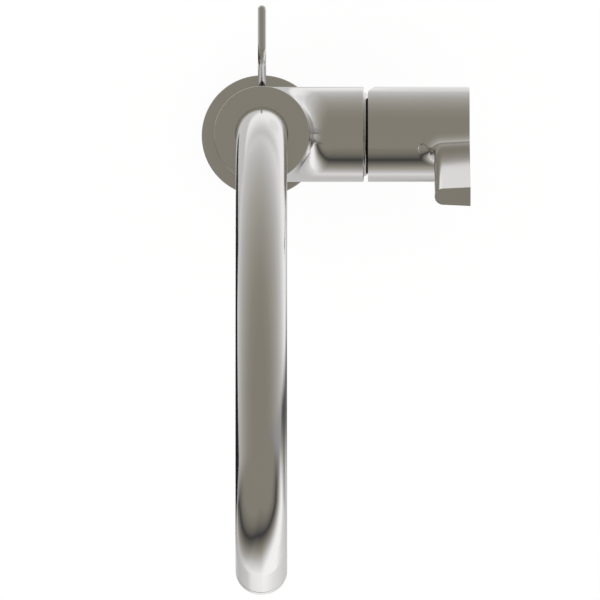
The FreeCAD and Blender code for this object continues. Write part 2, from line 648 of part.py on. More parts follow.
def lever_stem():
    """Square stem from the handle to the ball that drives the moving disc."""
    half = STEM_SIDE / 2
    neck_end = BALL_X + STEM_NECK_LENGTH
    end = INSERT_END_X - SLIP_GAP
    rise = (ARM_AXIS_Z - half, ARM_AXIS_Z + half)
    shank = block((neck_end, end), (-half, half), rise)
    ball = Part.makeSphere(STEM_BALL_R, V(BALL_X, 0, ARM_AXIS_Z))
    stem = shank.fuse([rod_x(STEM_NECK_R, BALL_X, neck_end), ball])
    return leaning(stem.cut(pivot_bar(PIVOT_PIN_R + PIN_GAP, STEM_SIDE)))


# Handle
def lever_blade():
    """Flat lever: full round on its inner side, flush with the handle's end on the outer."""
    foot = ARM_AXIS_Z + HANDLE_CAVITY_R + EDGE_BEVEL
    inner = LEVER_INNER_T / 2
    outer = LEVER_OUTER_T / 2
    near_x = LEVER_X + inner
    corners = [V(near_x, inner, foot), V(HANDLE_END_X, outer, foot)]
    corners += [V(HANDLE_END_X, -outer, foot), V(near_x, -inner, foot)]
    sides = [Part.makeLine(a, b) for a, b in zip(corners, corners[1:])]
    nose = Part.Arc(corners[3], V(LEVER_X, 0, foot), corners[0]).toShape()
    outline = Part.Face(Part.Wire(sides + [nose]))
    return outline.extrude(V(0, 0, ARM_AXIS_Z + LEVER_TIP - foot))


def tilt_relief():
    """Wedge cut from the handle's inner end so that it can tilt past the arm."""
    start = V(HANDLE_X, 0, ARM_AXIS_Z + RELIEF_RISE)
    depth = 2 * ARM_R + RELIEF_RISE
    wedge = block((HANDLE_X - depth, HANDLE_X), (-depth, depth), (start.z - 2 * depth, start.z))
    return wedge.rotated(start, V(0, 1, 0), -TILT_MAX)


def handle_shell():
    grip = rod_x(ARM_R, HANDLE_X, HANDLE_END_X).fuse(lever_blade()).removeSplitter()
    root = [e for e in grip.Edges if on_grip(e) and not lies_flat(e)]
    grip = grip.makeFillet(LEVER_FILLET, root).Solids[0]
    cavity_end = HANDLE_END_X - HANDLE_END_WALL
    grub = ARM_AXIS_Z - ARM_R - EDGE_BEVEL
    cuts = [
        rod_x(HANDLE_BORE_R, HANDLE_X, INSERT_END_X),
        rod_x(HANDLE_CAVITY_R, INSERT_END_X, cavity_end),
        rod_z(PLUG_R, grub, ARM_AXIS_Z - HANDLE_BORE_R + HANDLE_WALL, GRUB_X),
        tilt_relief(),
    ]
    return leaning(grip.cut(cuts))


def on_grip(edge):
    """Does the edge lie on the handle's round surface, away from its ends?"""
    points = edge.discretize(5)
    radii = [math.hypot(p.y, p.z - ARM_AXIS_Z) for p in points]
    return max(abs(r - ARM_R) for r in radii) < SEAT_GAP and max(p.z for p in points) > ARM_AXIS_Z


def lies_flat(edge):
    """Is the edge a circle, such as a rim, or a straight line?"""
    return edge.Curve.TypeId in ("Part::GeomCircle", "Part::GeomLine")


def handle_insert():
    """Adapter fixed in the handle: its square hole takes the stem."""
    start = INSERT_END_X - INSERT_LENGTH
    half = STEM_SIDE / 2 + SEAT_GAP
    rise = (ARM_AXIS_Z - half, ARM_AXIS_Z + half)
    square = block((start, INSERT_END_X), (-half, half), rise)
    screw_hole = rod_z(GRUB_R + SEAT_GAP, ARM_AXIS_Z - HANDLE_BORE_R, ARM_AXIS_Z, GRUB_X)
    return leaning(rod_x(HANDLE_BORE_R - SEAT_GAP, start, INSERT_END_X).cut([square, screw_hole]))


def handle_grub_screw():
    top = ARM_AXIS_Z - STEM_SIDE / 2
    return leaning(rod_z(GRUB_R, top - GRUB_LENGTH, top, GRUB_X))


def grub_screw_plug():
    low = ARM_AXIS_Z - HANDLE_BORE_R - PLUG_THICKNESS
    return leaning(rod_z(PLUG_R - SEAT_GAP, low, ARM_AXIS_Z - HANDLE_BORE_R, GRUB_X))


# Lift rod
ROD_GUIDE_R = ROD_R + RUN_GAP + ROD_GUIDE_WALL


def guide_bar(radius):
    """Slanted bar along the lift rod, from under the foot to well outside the column."""
    return rod_between(ROD_LOW, ROD_BEND, radius)


def lift_rod():
    """Slanted rod, bend and level end with a round tip."""
    centre = ROD_BEND + ROD_REAR * ROD_BEND_R
    level = centre + V(0, 0, ROD_BEND_R)
    tip = V(0, ROD_TIP_Y - ROD_R, level.z)
    bend = round_face(ROD_R, ROD_BEND, ROD_DIRECTION).revolve(centre, V(-1, 0, 0), 90 - ROD_SLANT)
    pieces = [bend, rod_between(level, tip, ROD_R), Part.makeSphere(ROD_R, tip)]
    return guide_bar(ROD_R).fuse(pieces).removeSplitter()


def rod_guide():
    """Bush in the column's rear wall, flush with both sides of it."""
    wall = ring_z(BODY_R, BORE_R, FLANGE_TOP_Z, HOLLOW_TOP_Z)
    bush = guide_bar(ROD_GUIDE_R).cut(guide_bar(ROD_R + RUN_GAP))
    return bush.common(wall)


def rod_clamp():
    """Round block on the rod's lower end, with a cross hole for the waste's link."""
    end = ROD_LOW + ROD_DIRECTION * ROD_CLAMP_LENGTH
    foot = ROD_LOW - ROD_DIRECTION * (LINK_HOLE_RISE + 2 * LINK_HOLE_R)
    cuts = [rod_between(ROD_LOW, end, ROD_R + SEAT_GAP)]
    cuts.append(cross_bar(V(1, 0, 0), LINK_HOLE_R, -LINK_HOLE_RISE, -2 * ROD_CLAMP_R, 2 * ROD_CLAMP_R))
    cuts.append(cross_bar(ROD_REAR, CLAMP_SCREW_R + SEAT_GAP, CLAMP_SCREW_RISE, 0, 2 * ROD_CLAMP_R))
    return rod_between(foot, end, ROD_CLAMP_R).cut(cuts)


def cross_bar(way, radius, rise, near, far):
    """Bar across the lift rod's axis, at a distance up the rod from its lower end."""
    middle = ROD_LOW + ROD_DIRECTION * rise
    return rod_between(middle + way * near, middle + way * far, radius)


def rod_clamp_screw():
    """Screw through the block's rear that bears on the rod."""
    head = ROD_CLAMP_R + CLAMP_SCREW_HEAD
    shank = cross_bar(ROD_REAR, CLAMP_SCREW_R, CLAMP_SCREW_RISE, ROD_R + SEAT_GAP, head)
    return shank.fuse(cross_bar(ROD_REAR, CLAMP_SCREW_HEAD_R, CLAMP_SCREW_RISE, ROD_CLAMP_R + SEAT_GAP, head))


PIECES = (
    spout_tube, spout_sleeve, spout_guide_bush, spout_o_rings, spout_thrust_washer, spout_stop_screw,
    aerator_housing, aerator_insert, flow_regulator, aerator_seal,
    body_casting, top_ring, base_flange, base_seal, base_insert,
    fixing_stud, clamp_pad, clamp_plate, clamp_nut,
    cartridge_base, port_seals, cartridge_o_ring, fixed_disc, moving_disc, disc_coupler,
    stem_guide, pivot_pin, lever_stem, cartridge_housing, cartridge_nut, dome_ring,
    handle_shell, handle_insert, handle_grub_screw, grub_screw_plug,
    lift_rod, rod_guide, rod_clamp, rod_clamp_screw,
)

os.makedirs("parts", exist_ok=True)
for piece in PIECES:
    shape = piece()
    shape.exportStep(f"parts/{piece.__name__}.step")
    print(piece.__name__, len(shape.Solids), round(shape.Volume, 1), shape.isValid())
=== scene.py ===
# %% [markdown]
# # A tall basin mixer tap
# The tap stands on a basin deck: a round column with a side arm, a swivelling
# swan-neck spout, a lever handle on the arm and a thin lift rod behind it.
# The measured solids are loaded first and stay where they are. Every surface
# made here is worked out around them, in the same metres and the same axes:
# the spout points along -Y, the handle along +X, and the deck is z = 0.

# %% Load the measured frame
import json

import bpy
import numpy as np
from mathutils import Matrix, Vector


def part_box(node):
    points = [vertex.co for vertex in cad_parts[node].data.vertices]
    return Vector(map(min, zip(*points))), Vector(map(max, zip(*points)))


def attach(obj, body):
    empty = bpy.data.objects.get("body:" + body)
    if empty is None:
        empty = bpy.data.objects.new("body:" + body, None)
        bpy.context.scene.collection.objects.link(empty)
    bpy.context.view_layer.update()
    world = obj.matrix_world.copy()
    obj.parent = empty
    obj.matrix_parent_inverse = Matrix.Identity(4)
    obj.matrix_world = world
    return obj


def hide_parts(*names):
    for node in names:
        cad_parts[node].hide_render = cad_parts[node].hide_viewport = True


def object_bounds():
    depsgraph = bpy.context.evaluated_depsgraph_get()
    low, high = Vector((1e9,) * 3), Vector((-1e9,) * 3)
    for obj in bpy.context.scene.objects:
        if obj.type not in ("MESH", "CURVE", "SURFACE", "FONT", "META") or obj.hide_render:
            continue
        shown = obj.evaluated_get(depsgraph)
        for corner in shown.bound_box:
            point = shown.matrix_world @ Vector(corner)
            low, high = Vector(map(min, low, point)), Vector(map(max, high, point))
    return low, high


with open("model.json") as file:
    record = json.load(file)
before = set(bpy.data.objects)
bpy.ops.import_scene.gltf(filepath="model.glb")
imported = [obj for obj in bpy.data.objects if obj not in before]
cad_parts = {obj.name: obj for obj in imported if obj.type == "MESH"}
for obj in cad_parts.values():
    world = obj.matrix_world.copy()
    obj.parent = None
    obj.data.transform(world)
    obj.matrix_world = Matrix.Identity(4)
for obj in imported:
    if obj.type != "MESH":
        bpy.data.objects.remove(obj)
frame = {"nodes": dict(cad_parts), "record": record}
cad_low, cad_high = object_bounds()
MM = 0.001


# %% [markdown]
# ## Building shader trees
# A finish is a small tree of nodes. It could be wired by hand in the shader
# editor. In a script, three short helpers keep the cells readable: one adds a node
# and sets its values, one joins an output to an input, one makes a colour ramp.

# %% Node helpers
def add(tree, kind, values=None, **settings):
    """One node of that kind, with its input values and its own settings."""
    node = tree.nodes.new(kind)
    for key, value in settings.items():
        setattr(node, key, value)
    for key, value in (values or {}).items():
        node.inputs[key].default_value = value
    return node


def join(tree, source, out, target, into):
    """A link from one node's output to another node's input."""
    tree.links.new(source.outputs[out], target.inputs[into])


def ramp_of(tree, stops):
    """A colour ramp with a stop at each (place, colour)."""
    node = add(tree, "ShaderNodeValToRGB")
    band = node.color_ramp.elements
    band[0].position, band[1].position = stops[0][0], stops[-1][0]
    for place, _ in stops[1:-1]:
        band.new(place)
    for spot, (_, colour) in zip(band, stops):
        spot.color = (*colour, 1.0)
    return node


# %% [markdown]
# ## Shared surface effects
# Polished metal is never even: polishing leaves faint cloudy patches where the
# gloss changes a little. Moulded plastic and rubber carry the fine grain of the
# mould. Turned brass shows the rings of the tool. Painted pictures could show all
# that, but noise has no seams. Each effect is a node group, so every finish that
# needs it places the same group with its own numbers.

# %% A new group, and the haze of polishing
def new_group(name, inputs, outputs):
    """A shader group with float inputs {name: value} and (name, kind) outputs."""
    group = bpy.data.node_groups.new(name, "ShaderNodeTree")
    for label, value in inputs.items():
        socket = group.interface.new_socket(label, in_out="INPUT", socket_type="NodeSocketFloat")
        socket.default_value = value
    for label, kind in outputs:
        group.interface.new_socket(label, in_out="OUTPUT", socket_type=kind)
    return group, add(group, "NodeGroupInput"), add(group, "NodeGroupOutput")


def haze_group():
    """Cloudy patches: coarse noise moved to the span from Low to High."""
    inputs = {"Scale": 60.0, "Low": 0.15, "High": 0.2}
    group, start, end = new_group("polish_haze", inputs, [("Value", "NodeSocketFloat")])
    place = add(group, "ShaderNodeTexCoord")
    noise = add(group, "ShaderNodeTexNoise", {"Detail": 4.0, "Roughness": 0.6})
    span = add(group, "ShaderNodeMapRange", {"From Min": 0.3, "From Max": 0.7})
    join(group, place, "Object", noise, "Vector")
    join(group, start, "Scale", noise, "Scale")
    join(group, noise, "Fac", span, "Value")
    join(group, start, "Low", span, "To Min")
    join(group, start, "High", span, "To Max")
    join(group, span, "Result", end, "Value")
    return group


HAZE = haze_group()
print("group", HAZE.name)


# %% Mould grain
def grain_group():
    """Mould grain: fine noise for height, and a slow drift for the tone."""
    inputs = {"Scale": 900.0, "Drift": 40.0}
    outputs = [("Height", "NodeSocketFloat"), ("Tone", "NodeSocketFloat")]
    group, start, end = new_group("mould_grain", inputs, outputs)
    place = add(group, "ShaderNodeTexCoord")
    for scale, out in (("Scale", "Height"), ("Drift", "Tone")):
        noise = add(group, "ShaderNodeTexNoise", {"Detail": 3.0})
        join(group, place, "Object", noise, "Vector")
        join(group, start, scale, noise, "Scale")
        join(group, noise, "Fac", end, out)
    return group


GRAIN = grain_group()
print("group", GRAIN.name)


# %% Tool rings
def rings_group():
    """Tool rings: waves along the turning axis, broken up a little by noise."""
    group, start, end = new_group("tool_rings", {"Scale": 500.0}, [("Height", "NodeSocketFloat")])
    place = add(group, "ShaderNodeTexCoord")
    wave = add(group, "ShaderNodeTexWave", {"Distortion": 1.5, "Detail": 2.0}, bands_direction="Z")
    join(group, place, "Object", wave, "Vector")
    join(group, start, "Scale", wave, "Scale")
    join(group, wave, "Fac", end, "Height")
    return group


RINGS = rings_group()
print("group", RINGS.name)


# %% [markdown]
# ## The metals
# The record names one finish for each piece. Outside it is satin steel, with a more
# polished dome behind the handle. Brass and plated steel are inside and under the
# deck. Four trees could be wired one by one. Here one function makes them all, so
# only their colours, their gloss and the size of their patches differ.

# %% A new material, and a group placed in it
def placed(tree, group, **values):
    """A group placed in a material, with its own values."""
    node = add(tree, "ShaderNodeGroup", node_tree=group)
    for key, value in values.items():
        node.inputs[key].default_value = value
    return node


def blank(name):
    """A new material with its tree and its principled shader."""
    material = bpy.data.materials.new(name)
    material.use_nodes = True
    tree = material.node_tree
    return material, tree, tree.nodes["Principled BSDF"]


# %% Metals
TONE_PATCH = 0.6
RING_SCALE, RING_HEIGHT = 500.0, 0.05 * MM


def metal(name, light, dark, gloss, patch=60.0, rings=0.0):
    """Metal whose tone and roughness drift in patches, with optional tool rings."""
    material, tree, shader = blank(name)
    shader.inputs["Metallic"].default_value = 1.0
    rough = placed(tree, HAZE, Scale=patch, Low=gloss[0], High=gloss[1])
    tone = placed(tree, HAZE, Scale=patch * TONE_PATCH, Low=0.0, High=1.0)
    colours = ramp_of(tree, [(0.0, dark), (1.0, light)])
    join(tree, rough, "Value", shader, "Roughness")
    join(tree, tone, "Value", colours, "Fac")
    join(tree, colours, "Color", shader, "Base Color")
    if rings:
        lines = placed(tree, RINGS, Scale=RING_SCALE)
        bump = add(tree, "ShaderNodeBump", {"Strength": rings, "Distance": RING_HEIGHT})
        join(tree, lines, "Height", bump, "Height")
        join(tree, bump, "Normal", shader, "Normal")
    return material


STEEL = metal("satin_steel", (0.81, 0.80, 0.79), (0.79, 0.78, 0.77), (0.10, 0.13))
DOME = metal("polished_steel", (0.84, 0.83, 0.81), (0.81, 0.80, 0.78), (0.05, 0.08))
BRASS = metal("turned_brass", (0.80, 0.60, 0.30), (0.70, 0.51, 0.24), (0.24, 0.34), 120.0, 0.3)
PLATED = metal("plated_steel", (0.70, 0.70, 0.68), (0.58, 0.59, 0.60), (0.25, 0.38), 150.0)
print("metals", [finish.name for finish in (STEEL, DOME, BRASS, PLATED)])

# %% [markdown]
# ## Rubber, plastics and ceramic
# Seals are moulded in rubber and guides in plastic. The discs in the cartridge are
# fired ceramic, lapped until they slide on each other. Their surface could be
# sculpted, but the grain of a mould is far too fine for that. A bump from fine noise
# gives the grain, and slow noise lets the tone drift.

# %% Moulded and fired pieces
GLOSS_PATCH, GRAIN_HEIGHT = 200.0, 0.1 * MM


def moulded(name, light, dark, rough, scale, depth):
    """A moulded piece: the grain gives its height and a slow change of tone."""
    material, tree, shader = blank(name)
    grain = placed(tree, GRAIN, Scale=scale)
    colours = ramp_of(tree, [(0.3, dark), (0.7, light)])
    gloss = placed(tree, HAZE, Scale=GLOSS_PATCH, Low=rough[0], High=rough[1])
    bump = add(tree, "ShaderNodeBump", {"Strength": depth, "Distance": GRAIN_HEIGHT})
    join(tree, grain, "Tone", colours, "Fac")
    join(tree, colours, "Color", shader, "Base Color")
    join(tree, gloss, "Value", shader, "Roughness")
    join(tree, grain, "Height", bump, "Height")
    join(tree, bump, "Normal", shader, "Normal")
    return material


RUBBER = moulded("black_rubber", (0.035, 0.035, 0.036), (0.02, 0.02, 0.021), (0.55, 0.7), 1500.0, 0.3)
WHITE = moulded("white_plastic", (0.80, 0.80, 0.78), (0.74, 0.74, 0.72), (0.35, 0.45), 1200.0, 0.15)
DARK = moulded("dark_plastic", (0.07, 0.07, 0.069), (0.05, 0.05, 0.05), (0.4, 0.55), 1200.0, 0.2)
CERAMIC = moulded("lapped_ceramic", (0.84, 0.81, 0.77), (0.78, 0.74, 0.70), (0.12, 0.2), 2500.0, 0.05)
FINISHES = {"satin_steel": STEEL, "polished_steel": DOME, "turned_brass": BRASS, "plated_steel": PLATED}
FINISHES |= {"black_rubber": RUBBER, "white_plastic": WHITE, "dark_plastic": DARK, "lapped_ceramic": CERAMIC}
print("finishes", sorted(FINISHES))

# %% [markdown]
# ## Dressing the solids
# Most pieces are right as they were measured and only need their finish. It could
# be picked by hand for each of them, but the record already says which it is, so a
# loop over its rows does it.

# %% Give each solid its finish
for row in frame["record"]["subparts"]:
    solid = frame["nodes"][row["node"]]
    solid.data.materials.clear()
    solid.data.materials.append(FINISHES[row["material_slot"]])

# %% [markdown]
# ## Surfaces from a grid of points
# A surface can be drawn as a grid: rows follow one parameter of a formula and
# columns the other. A lathe piece is a profile carried round an axis, and a tube
# is a circle carried along a path. Modifiers could do this too, but a formula ties
# every size to the solids. Closing the grid, merging doubled points and turning
# the faces outward are the same each time, so one function does it.

# %% From a grid to a mesh
import bmesh

MERGE = 0.002 * MM


def quads(rows, cols, loop_rows, loop_cols):
    """Corner numbers of a grid's faces, with the grid closed on itself along either way."""
    index = np.arange(rows * cols).reshape(rows, cols)
    index = np.vstack([index, index[:1]]) if loop_rows else index
    index = np.hstack([index, index[:, :1]]) if loop_cols else index
    return np.stack([index[:-1, :-1], index[1:, :-1], index[1:, 1:], index[:-1, 1:]], -1).reshape(-1, 4)


def grid_object(name, points, loop_rows=False, loop_cols=True, crease=35.0):
    """A mesh object from a grid in metres: doubles merged, faces outward, sharp over the crease angle."""
    rows, cols = points.shape[:2]
    mesh = bpy.data.meshes.new(name)
    mesh.from_pydata(points.reshape(-1, 3), [], quads(rows, cols, loop_rows, loop_cols).tolist())
    work = bmesh.new()
    work.from_mesh(mesh)
    bmesh.ops.remove_doubles(work, verts=work.verts, dist=MERGE)
    bmesh.ops.recalc_face_normals(work, faces=work.faces)
    work.to_mesh(mesh)
    work.free()
    mesh.shade_smooth()
    mesh.set_sharp_from_angle(angle=np.radians(crease))
    made = bpy.data.objects.new(name, mesh)
    bpy.context.scene.collection.objects.link(made)
    return made


# %% From a mesh to a dressed piece
BODY_OF = {node: body for body, nodes in frame["record"]["behaviour"]["bodies"].items() for node in nodes}
SLOT_OF = {row["node"]: row["material_slot"] for row in frame["record"]["subparts"]}


def box_mm(node):
    """Lowest and highest corner of a measured solid: its metres divided by the millimetre."""
    return tuple(np.array(corner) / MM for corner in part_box(node))


def stand_in(node, points, loop_rows=True):
    """A piece in millimetres that stands for a solid: it rides on its body and wears its finish."""
    made = grid_object(node + "_shown", points * MM, loop_rows)
    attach(made, BODY_OF[node])
    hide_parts(node)
    made.data.materials.append(FINISHES[SLOT_OF[node]])
    print(made.name, "faces", len(made.data.polygons))


print("bodies to ride on", sorted(set(BODY_OF.values())))

# %% [markdown]
# ## The swan-neck spout
# On the real tap this is one steel tube, bent twice: a wide bend up from the
# column and over the top, and a tighter one down to the outlet, which leans a
# little forward. A curve with a round bevel could draw it, but here both bends are
# true arcs. The path is a list of runs, each with a length and a turn shared evenly
# along it. A circle is carried along the path for the outside and again, smaller,
# for the bore.

# %% A bent path
def bent_path(along, start, heading, runs):
    """Points (y, z) and headings along a path: each (length, turn) run adds its share of the turn.

    The points add up short steps taken at the heading half way along each step."""
    def facing(distance):
        total, begin = heading + 0 * distance, 0.0
        for length, turn in runs:
            total = total + turn * np.clip((distance - begin) / length, 0, 1)
            begin += length
        return total
    middle = facing((along[1:] + along[:-1]) / 2)
    steps = np.diff(along)[:, None] * np.stack([np.cos(middle), np.sin(middle)], -1)
    places = np.vstack([np.zeros((1, 2)), np.cumsum(steps, 0)]) + start
    return places, facing(along)


# %% A circle carried along a path
def carried(places, heading, radius, sides=96):
    """A circle carried along a path, with its radius at each place.

    Sideways, along X, it takes radius times cosine, and radius times sine square to the heading."""
    turn = np.linspace(0, 2 * np.pi, sides, endpoint=False)
    side, up = radius[:, None] * np.cos(turn), radius[:, None] * np.sin(turn)
    rear = places[:, :1] - up * np.sin(heading)[:, None]
    rise = places[:, 1:] + up * np.cos(heading)[:, None]
    return np.stack([side, rear, rise], -1)


def eased(along, length, radius, ease):
    """A radius that rounds off at both ends: over the last bit it drops like a quarter circle."""
    short = np.clip(ease - np.minimum(along, length - along), 0, ease)
    return radius - ease + np.sqrt(ease**2 - short**2)


# %% The spout
REAR_BEND, FRONT_BEND, OUTLET_DROP = 125.0, 34.0, 20.0
OUTLET_LEAN = np.radians(21.5)
TUBE_WALL, TUBE_EASE = 1.5, 0.3
spout_low, spout_high = box_mm("spout_tube")
TUBE_R = spout_high[0]
spring_z = spout_high[2] - TUBE_R - REAR_BEND
front_reach = (FRONT_BEND + TUBE_R) * np.cos(OUTLET_LEAN)
past_reach = -spout_low[1] - REAR_BEND - front_reach - OUTLET_DROP * np.sin(OUTLET_LEAN)
past_level = np.arcsin(past_reach / (REAR_BEND - FRONT_BEND))
over, down = np.pi / 2 + past_level, np.pi / 2 - past_level - OUTLET_LEAN
riser = spring_z - spout_low[2]
neck = [(riser, 0.0), (REAR_BEND * over, over), (FRONT_BEND * down, down), (OUTLET_DROP, 0.0)]
neck_length = sum(length for length, _ in neck)
# rows lie close together at both ends, where the edge is eased
edge = np.array([0, 0.02, 0.08, 0.18, TUBE_EASE])
between = np.linspace(2 * TUBE_EASE, neck_length - 2 * TUBE_EASE, 300)
along = np.concatenate([edge, between, neck_length - edge[::-1]])
places, heading = bent_path(along, (0.0, spout_low[2]), np.pi / 2, neck)
outside = carried(places, heading, eased(along, neck_length, TUBE_R, TUBE_EASE))
# the bore runs back with every third row, and the grid closes on itself
bore = carried(places[::-3], heading[::-3], np.full(len(places[::-3]), TUBE_R - TUBE_WALL))
stand_in("spout_tube", np.vstack([outside, bore]))
outlet = (0, *places[-1])

# %% [markdown]
# ## The lift rod
# Behind the column a thin rod pulls the basin's waste open. It slants up out of
# the column, bends level and ends in a round tip. It could be two cylinders, a
# bend and a ball, but the same path tool draws it in one piece: one straight run,
# one bend, one straight run, and a radius that closes at the tip like a half ball.

# %% The rod
ROD_LEAN, ROD_BEND_R, ROD_EASE = np.radians(18.0), 7.7, 0.2
rod_low, rod_high = box_mm("lift_rod")
ROD_R = rod_high[0]
rod_start = np.array([rod_low[1] + ROD_R * np.cos(ROD_LEAN), rod_low[2] + ROD_R * np.sin(ROD_LEAN)])
slope = np.pi / 2 - ROD_LEAN
slant = (rod_high[2] - ROD_R - rod_start[1] - ROD_BEND_R * (1 - np.cos(slope))) / np.sin(slope)
level = rod_high[1] - rod_start[0] - slant * np.cos(slope) - ROD_BEND_R * np.sin(slope)
rod_runs = [(slant, 0.0), (ROD_BEND_R * slope, -slope), (level, 0.0)]
rod_length = sum(length for length, _ in rod_runs)
tip = ROD_R * (1 - np.cos(np.linspace(0, np.pi / 2, 13)))
straight = np.linspace(1, rod_length - ROD_R, 220)[:-1]
along = np.concatenate([[0, 0, ROD_EASE], straight, rod_length - tip[::-1]])
places, heading = bent_path(along, rod_start, slope, rod_runs)
radius = np.sqrt(np.clip(ROD_R**2 - np.clip(along - rod_length + ROD_R, 0, ROD_R) ** 2, 0, None))
# the lower end is flat, with a small chamfer
radius[:2] = 0, ROD_R - ROD_EASE
stand_in("lift_rod", carried(places, heading, radius, 40), loop_rows=False)


# %% [markdown]
# ## Turned pieces
# Several pieces of the tap are turned on a lathe. The Screw modifier could spin
# them. Here each is a closed outline carried round its axis, with no seam to mend.
# No turned edge is perfectly sharp, so a small curve rounds every corner of the
# outline. That thin round is what catches the light.

# %% An outline with eased corners, carried round an axis
CURVE_POINTS, HOLD = 6, 1.4


def rounded(corners):
    """An outline of (radius, height, ease) corners, each cut by a curve from ease before it to ease after.

    The curve is start (1-t)^2 + corner 2t(1-t) + end t^2. One more point each side keeps the flats flat."""
    corners = np.array(corners, float)
    spot, ease = corners[:, None, :2], corners[:, None, 2:]
    before, after = np.roll(spot, 1, 0) - spot, np.roll(spot, -1, 0) - spot
    before = before / np.linalg.norm(before, axis=-1, keepdims=True) * ease
    after = after / np.linalg.norm(after, axis=-1, keepdims=True) * ease
    t = np.linspace(0, 1, CURVE_POINTS)[None, :, None]
    curve = spot + before * (1 - t) ** 2 + after * t**2
    return np.concatenate([spot + HOLD * before, curve, spot + HOLD * after], 1).reshape(-1, 2)


def turned(outline, centre=(0.0, 0.0, 0.0), axis=(0.0, 0.0, 1.0), sides=144, form=None):
    """An outline of (radius, height) carried round an axis; a form scales the radius at each angle.

    Each point is the centre, plus the radius along a ray at that angle, plus the height along the axis."""
    axis = np.array(axis, float)
    first = np.array([0.0, 1.0, 0.0]) if axis[0] > 0.9 else np.array([1.0, 0.0, 0.0])
    turn = np.linspace(0, 2 * np.pi, sides, endpoint=False)
    ray = np.cos(turn)[:, None] * first + np.sin(turn)[:, None] * np.cross(axis, first)
    radius = outline[:, :1] * (1.0 if form is None else form)
    return np.array(centre) + (radius + 0 * turn)[..., None] * ray + outline[:, 1:, None] * axis


# %% [markdown]
# ## The ring on top of the column
# A flat disc closes the column, and the spout turns in its hole. Under the disc a
# narrower neck goes down into the column. A cylinder with a Bevel modifier could
# stand for it, but then every edge would be equally round. In an outline each corner
# has its own ease: more at the rim that shows, hardly any where the neck begins.

# %% The ring on top of the column
RING_DISC, RING_PLAY, RING_THREAD = 3.5, 0.15, 4.7
ring_low, ring_high = box_mm("top_ring")
shelf = ring_high[2] - RING_DISC
hole, neck_r = TUBE_R + RING_PLAY, ring_high[0] - RING_THREAD
stand_in("top_ring", turned(rounded([
    (hole, ring_low[2], 0.2), (neck_r, ring_low[2], 0.3), (neck_r, shelf, 0.05),
    (ring_high[0], shelf, 0.15), (ring_high[0], ring_high[2], 0.45), (hole, ring_high[2], 0.4)])))

# %% [markdown]
# ## The foot and its seal
# The tap stands on a wide flange. A rubber ring lies in a groove on its underside and
# keeps water out of the hole in the deck. A boolean could cut the groove. Here it
# is four more corners of the outline, placed by the seal's own size.

# %% The foot and its seal
FOOT_BORE, SEAL_WIDTH, SEAT = 19.05, 4.0, 0.05
foot_low, foot_high = box_mm("base_flange")
seal_high = box_mm("base_seal")[1]
seal_in, seal_out = seal_high[0] - SEAL_WIDTH, seal_high[0]
stand_in("base_flange", turned(rounded([
    (FOOT_BORE, foot_low[2], 0.2), (seal_in - SEAT, foot_low[2], 0.1), (seal_in - SEAT, seal_high[2], 0.05),
    (seal_out + SEAT, seal_high[2], 0.05), (seal_out + SEAT, foot_low[2], 0.1),
    (foot_high[0], foot_low[2], 0.3), (foot_high[0], foot_high[2], 0.5), (FOOT_BORE, foot_high[2], 0.2)])))
stand_in("base_seal", turned(rounded([
    (seal_in, 0, 0.4), (seal_out, 0, 0.4), (seal_out, seal_high[2], 0.4), (seal_in, seal_high[2], 0.4)])))

# %% [markdown]
# ## The dome behind the handle
# In the gap between the arm and the handle a polished dome shows, and the handle
# tilts over it. A sphere with both ends cut off could give it. An arc turned round
# the arm's axis is simpler, because it starts and ends just where the measured dome
# does.

# %% The dome behind the handle
DOME_CENTRE, DOME_R, DOME_MOUTH, DOME_LIP = 35.0, 20.4, 14.45, 11.3
SPIGOT, SPIGOT_WALL = 5.0, 2.0
dome_low, dome_high = box_mm("dome_ring")
arm_height = (dome_low[2] + dome_high[2]) / 2
dome_start = dome_low[0] + SPIGOT
dome_ends = np.array([dome_start, dome_high[0]]) - DOME_CENTRE
sweep = np.linspace(*np.arccos(dome_ends / DOME_R), 40)
ball = np.stack([DOME_R * np.sin(sweep), DOME_CENTRE + DOME_R * np.cos(sweep), 0 * sweep], -1)
spigot_r = DOME_MOUTH + SPIGOT_WALL
stand_in("dome_ring", turned(rounded([
    *ball, (DOME_LIP, dome_high[0], 0.2), (DOME_MOUTH, dome_start, 0.1), (DOME_MOUTH, dome_low[0], 0.2),
    (spigot_r, dome_low[0], 0.3), (spigot_r, dome_start, 0.05)]), (0, 0, arm_height), (1, 0, 0)))

# %% [markdown]
# ## The outlet's housing
# A short ring is screwed into the end of the spout and holds the insert that the
# water runs through. It could be drawn upright and turned into place afterwards, but
# a finished piece keeps its place in its mesh. So its outline is carried round the
# leaning axis of the outlet from the start.

# %% The outlet's housing
RIM, THREAD, BORE, MOUTH, LIP = 3.0, 8.0, 8.0, 7.2, 0.8
thread_r = TUBE_R - TUBE_WALL - SEAT
stand_in("aerator_housing", turned(rounded([
    (MOUTH, -RIM, 0.3), (TUBE_R, -RIM, 0.5), (TUBE_R, 0, 0.3), (thread_r, 0, 0.05),
    (thread_r, THREAD, 0.3), (BORE, THREAD, 0.2), (BORE, LIP - RIM, 0.05), (MOUTH, LIP - RIM, 0.1)]),
    outlet, (0, np.sin(OUTLET_LEAN), np.cos(OUTLET_LEAN))))


# %% [markdown]
# ## The threaded stud
# Under the deck a threaded stud carries the clamp. A boolean with a helix could cut
# its thread, but that leaves untidy faces. A thread is also a lathe piece whose
# radius depends on the angle: the groove climbs one pitch in each turn. So it stays
# one grid of heights and angles.

# %% The stud's measures and its thread
PITCH, GROOVE = 1.25, 0.55
WEDGE_TOP, WEDGE_SLOPE = 1.15, 2.9
END_CHAMFER = 0.8
NOTCH_LOW, NOTCH_HIGH, NOTCH_DEPTH = -48.0, -46.0, 0.8
stud_low, stud_high = box_mm("fixing_stud")
STUD_R = stud_high[0]
stud_axis = ((stud_low + stud_high) / 2)[:2]


